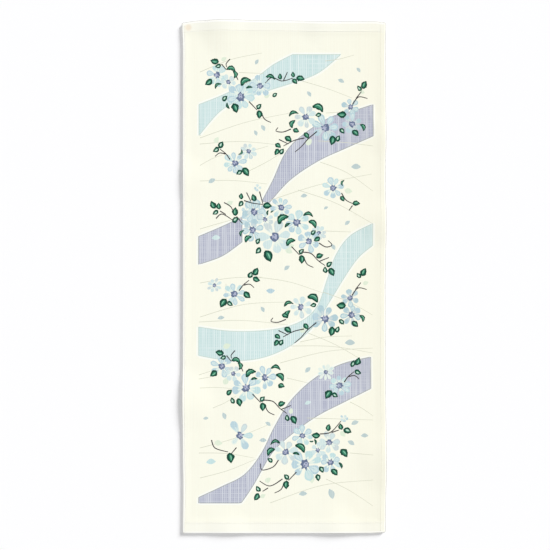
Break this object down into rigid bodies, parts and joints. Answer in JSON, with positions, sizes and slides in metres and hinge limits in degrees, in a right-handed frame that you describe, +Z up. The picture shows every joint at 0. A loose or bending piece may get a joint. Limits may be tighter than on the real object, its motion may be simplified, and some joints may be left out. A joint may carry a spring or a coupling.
{
  "type": "gauze towel",
  "caption": "Long cotton gauze hand towel laid out flat, hemmed on all sides, cream with a flower print, for drying hands and face.",
  "frame": {"origin": "on the surface the towel lies on, under the middle of its outline", "axes": "+Y along the towel to its top end, +X across it to its right side, +Z up out of the printed face"},
  "size_m": [0.342, 0.8628, 0.0046],
  "materials": {
    "cotton_gauze": "matt undyed cotton gauze with a printed flower pattern"
  },
  "bodies": {
    "root": {"towel_cloth": "cotton_gauze"}
  },
  "joints": []
}
